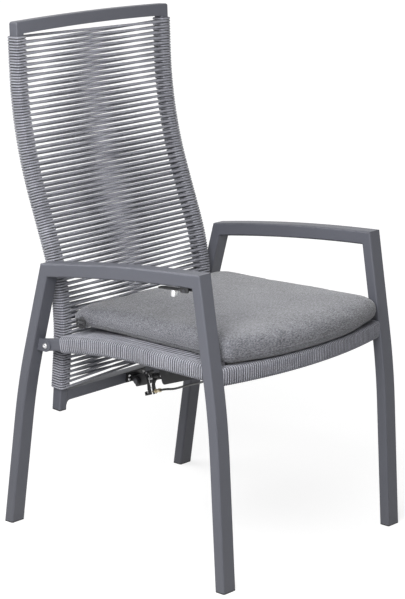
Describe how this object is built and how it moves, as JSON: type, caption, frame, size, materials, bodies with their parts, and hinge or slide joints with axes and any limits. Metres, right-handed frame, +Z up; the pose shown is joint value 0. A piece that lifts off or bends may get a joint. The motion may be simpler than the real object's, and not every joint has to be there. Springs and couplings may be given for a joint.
{
  "type": "reclining garden armchair",
  "caption": "High-backed garden armchair with an aluminium frame, rope-wound seat and backrest, a loose cushion, and a lockable gas spring that lets the backrest recline.",
  "frame": {"origin": "on the floor, under the middle of the chair's length and width", "axes": "+Z up from the feet to the top rail; the chair faces -Y, and the sitter's right is -X"},
  "size_m": [0.6, 0.6888, 1.1114],
  "materials": {
    "frame_coat": "fine matt anthracite powder coat",
    "rope": "round woven outdoor rope",
    "black_plastic": "moulded black plastic",
    "black_steel": "black coated steel",
    "steel": "bright steel",
    "chrome_rod": "ground and chromed rod",
    "brass_adjuster": "turned brass",
    "cable_jacket": "smooth black cable jacket",
    "cushion_cloth": "melange grey woven cloth"
  },
  "bodies": {
    "frame": {"left_front_leg": "frame_coat", "right_front_leg": "frame_coat", "left_rear_leg": "frame_coat", "right_rear_leg": "frame_coat", "left_armrest": "frame_coat", "right_armrest": "frame_coat", "foot_glides": "black_plastic", "left_seat_rail": "frame_coat", "right_seat_rail": "frame_coat", "pivot_lugs": "frame_coat", "front_seat_rail": "frame_coat", "front_rail_winding": "rope", "rear_cross_tube": "frame_coat", "front_cross_tube": "frame_coat", "seat_winding": "rope", "spring_channel": "black_steel", "channel_hanger": "black_steel", "spring_pin": "steel", "gas_cylinder": "black_steel", "lever_bracket": "frame_coat", "lever_pin": "steel", "cable_grommet": "cable_jacket", "pivot_bolts": "steel", "pivot_nuts": "steel", "seat_cushion": "cushion_cloth", "cushion_clips": "black_plastic"},
    "backrest": {"left_stile": "frame_coat", "right_stile": "frame_coat", "stile_caps": "black_plastic", "top_rail": "frame_coat", "bottom_crossrail": "frame_coat", "backrest_winding": "rope", "pivot_bushes": "black_plastic", "spring_bracket": "black_steel", "bracket_screws": "steel", "rod_end_pin": "steel"},
    "gas_rod": {"gas_rod": "chrome_rod", "release_head": "black_steel", "rod_sleeve": "black_steel", "rod_nut": "steel", "cable_plate": "black_steel", "cable_adjuster": "brass_adjuster", "arm_pin": "steel", "release_cable": "cable_jacket"},
    "release_arm": {"release_arm": "black_steel", "wire_nipple": "steel", "release_wire": "steel"},
    "hand_lever": {"hand_lever": "black_steel", "lever_knob": "steel"}
  },
  "joints": [
    {"name": "recline", "type": "hinge", "parent": "frame", "child": "backrest", "pos_m": [0, 0.18938, 0.424], "axis": [-1, 0, 0], "range_deg": [0, 22.5]},
    {"name": "rod_slide", "type": "slide", "parent": "frame", "child": "gas_rod", "axis": [0, -0.9405, 0.3398], "range_m": [0, 0.0521], "deforming": ["release_cable"]},
    {"name": "arm_swing", "type": "hinge", "parent": "gas_rod", "child": "release_arm", "pos_m": [0, 0.1425, 0.315], "axis": [-1, 0, 0], "range_deg": [0, 3.2], "stiffness_Nm_per_rad": 0.4},
    {"name": "lever_pull", "type": "hinge", "parent": "frame", "child": "hand_lever", "pos_m": [-0.281, -0.216, 0.61962], "axis": [1, 0, 0], "range_deg": [0, 4], "stiffness_Nm_per_rad": 1}
  ],
  "couplings": [
    {"joint": "rod_slide", "follows": "recline", "m_per_rad": 0.13265},
    {"joint": "arm_swing", "follows": "lever_pull", "ratio": 0.8}
  ]
}
